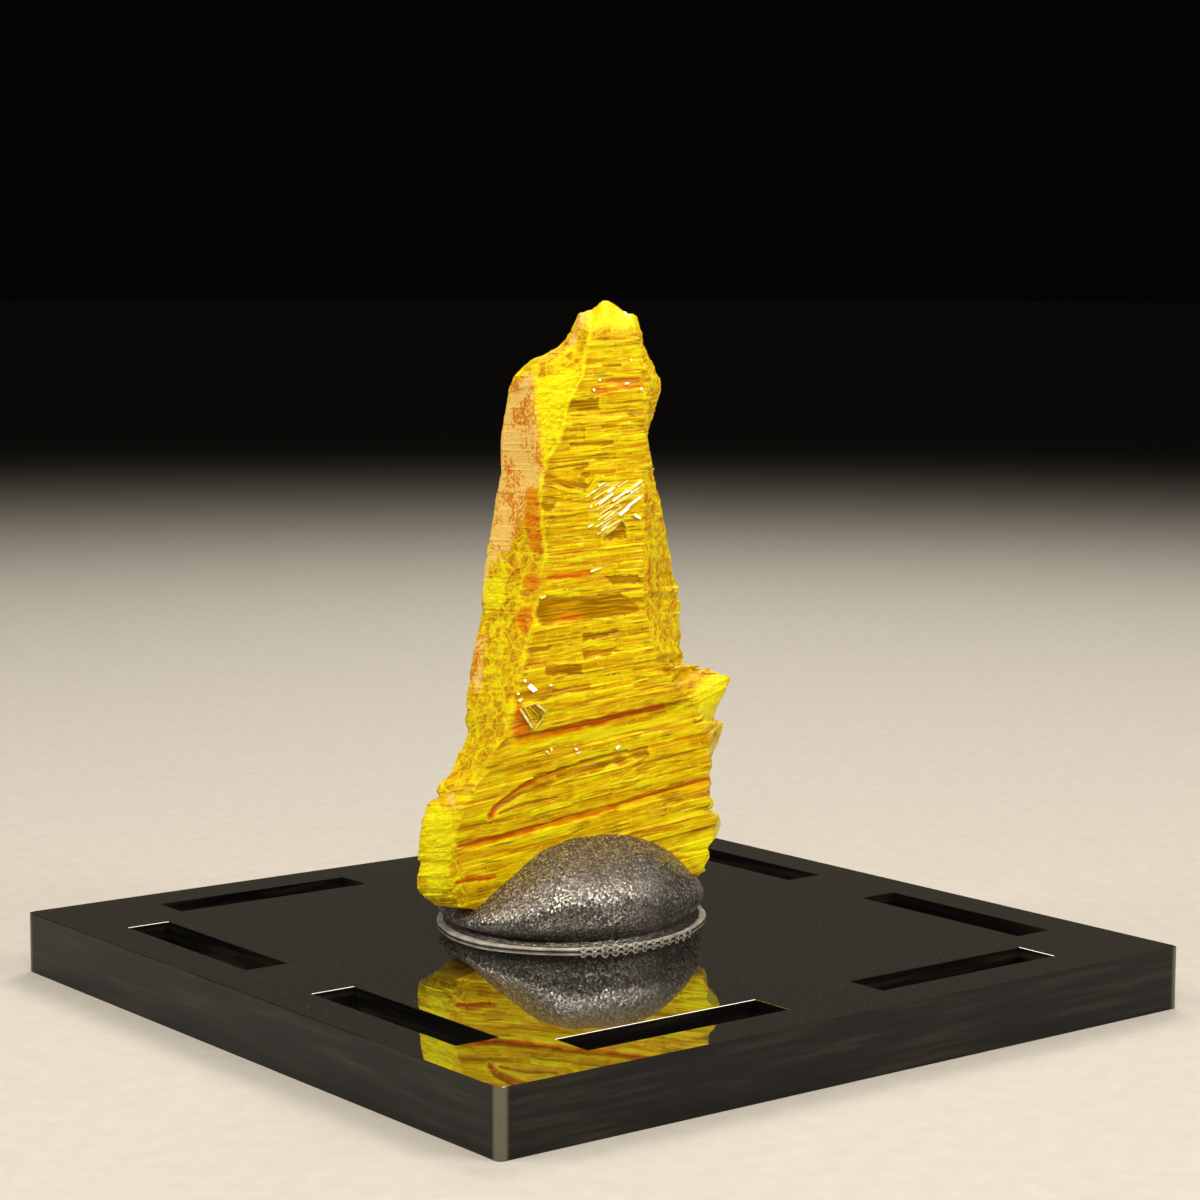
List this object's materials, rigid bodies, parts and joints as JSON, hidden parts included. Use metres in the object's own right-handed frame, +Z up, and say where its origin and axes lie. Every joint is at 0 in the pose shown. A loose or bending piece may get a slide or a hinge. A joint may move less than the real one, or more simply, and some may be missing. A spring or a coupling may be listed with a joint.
{
  "type": "orpiment",
  "caption": "Upright lemon-yellow orpiment specimen with stacked cleavage sheets, held by grey putty on a square black acrylic plate with tab slots.",
  "frame": {"origin": "middle of the display plate's underside", "axes": "+Z up, X and Y along the plate's square sides; the specimen's broad face looks towards -Y, turned about 16 degrees towards -X"},
  "size_m": [0.04, 0.04, 0.0333],
  "materials": {
    "black_acrylic": "mirror-gloss black cast acrylic with satin laser-cut sides",
    "clear_glue": "thin milky clear glue film",
    "grey_putty": "satin graphite-grey putty with a fine metallic sparkle",
    "orpiment_mineral": "resinous to pearly lemon and golden yellow cleavage sheets with orange-red bands"
  },
  "bodies": {
    "root": {"base_plate": "black_acrylic", "glue_film": "clear_glue", "putty": "grey_putty", "orpiment": "orpiment_mineral"}
  },
  "joints": []
}
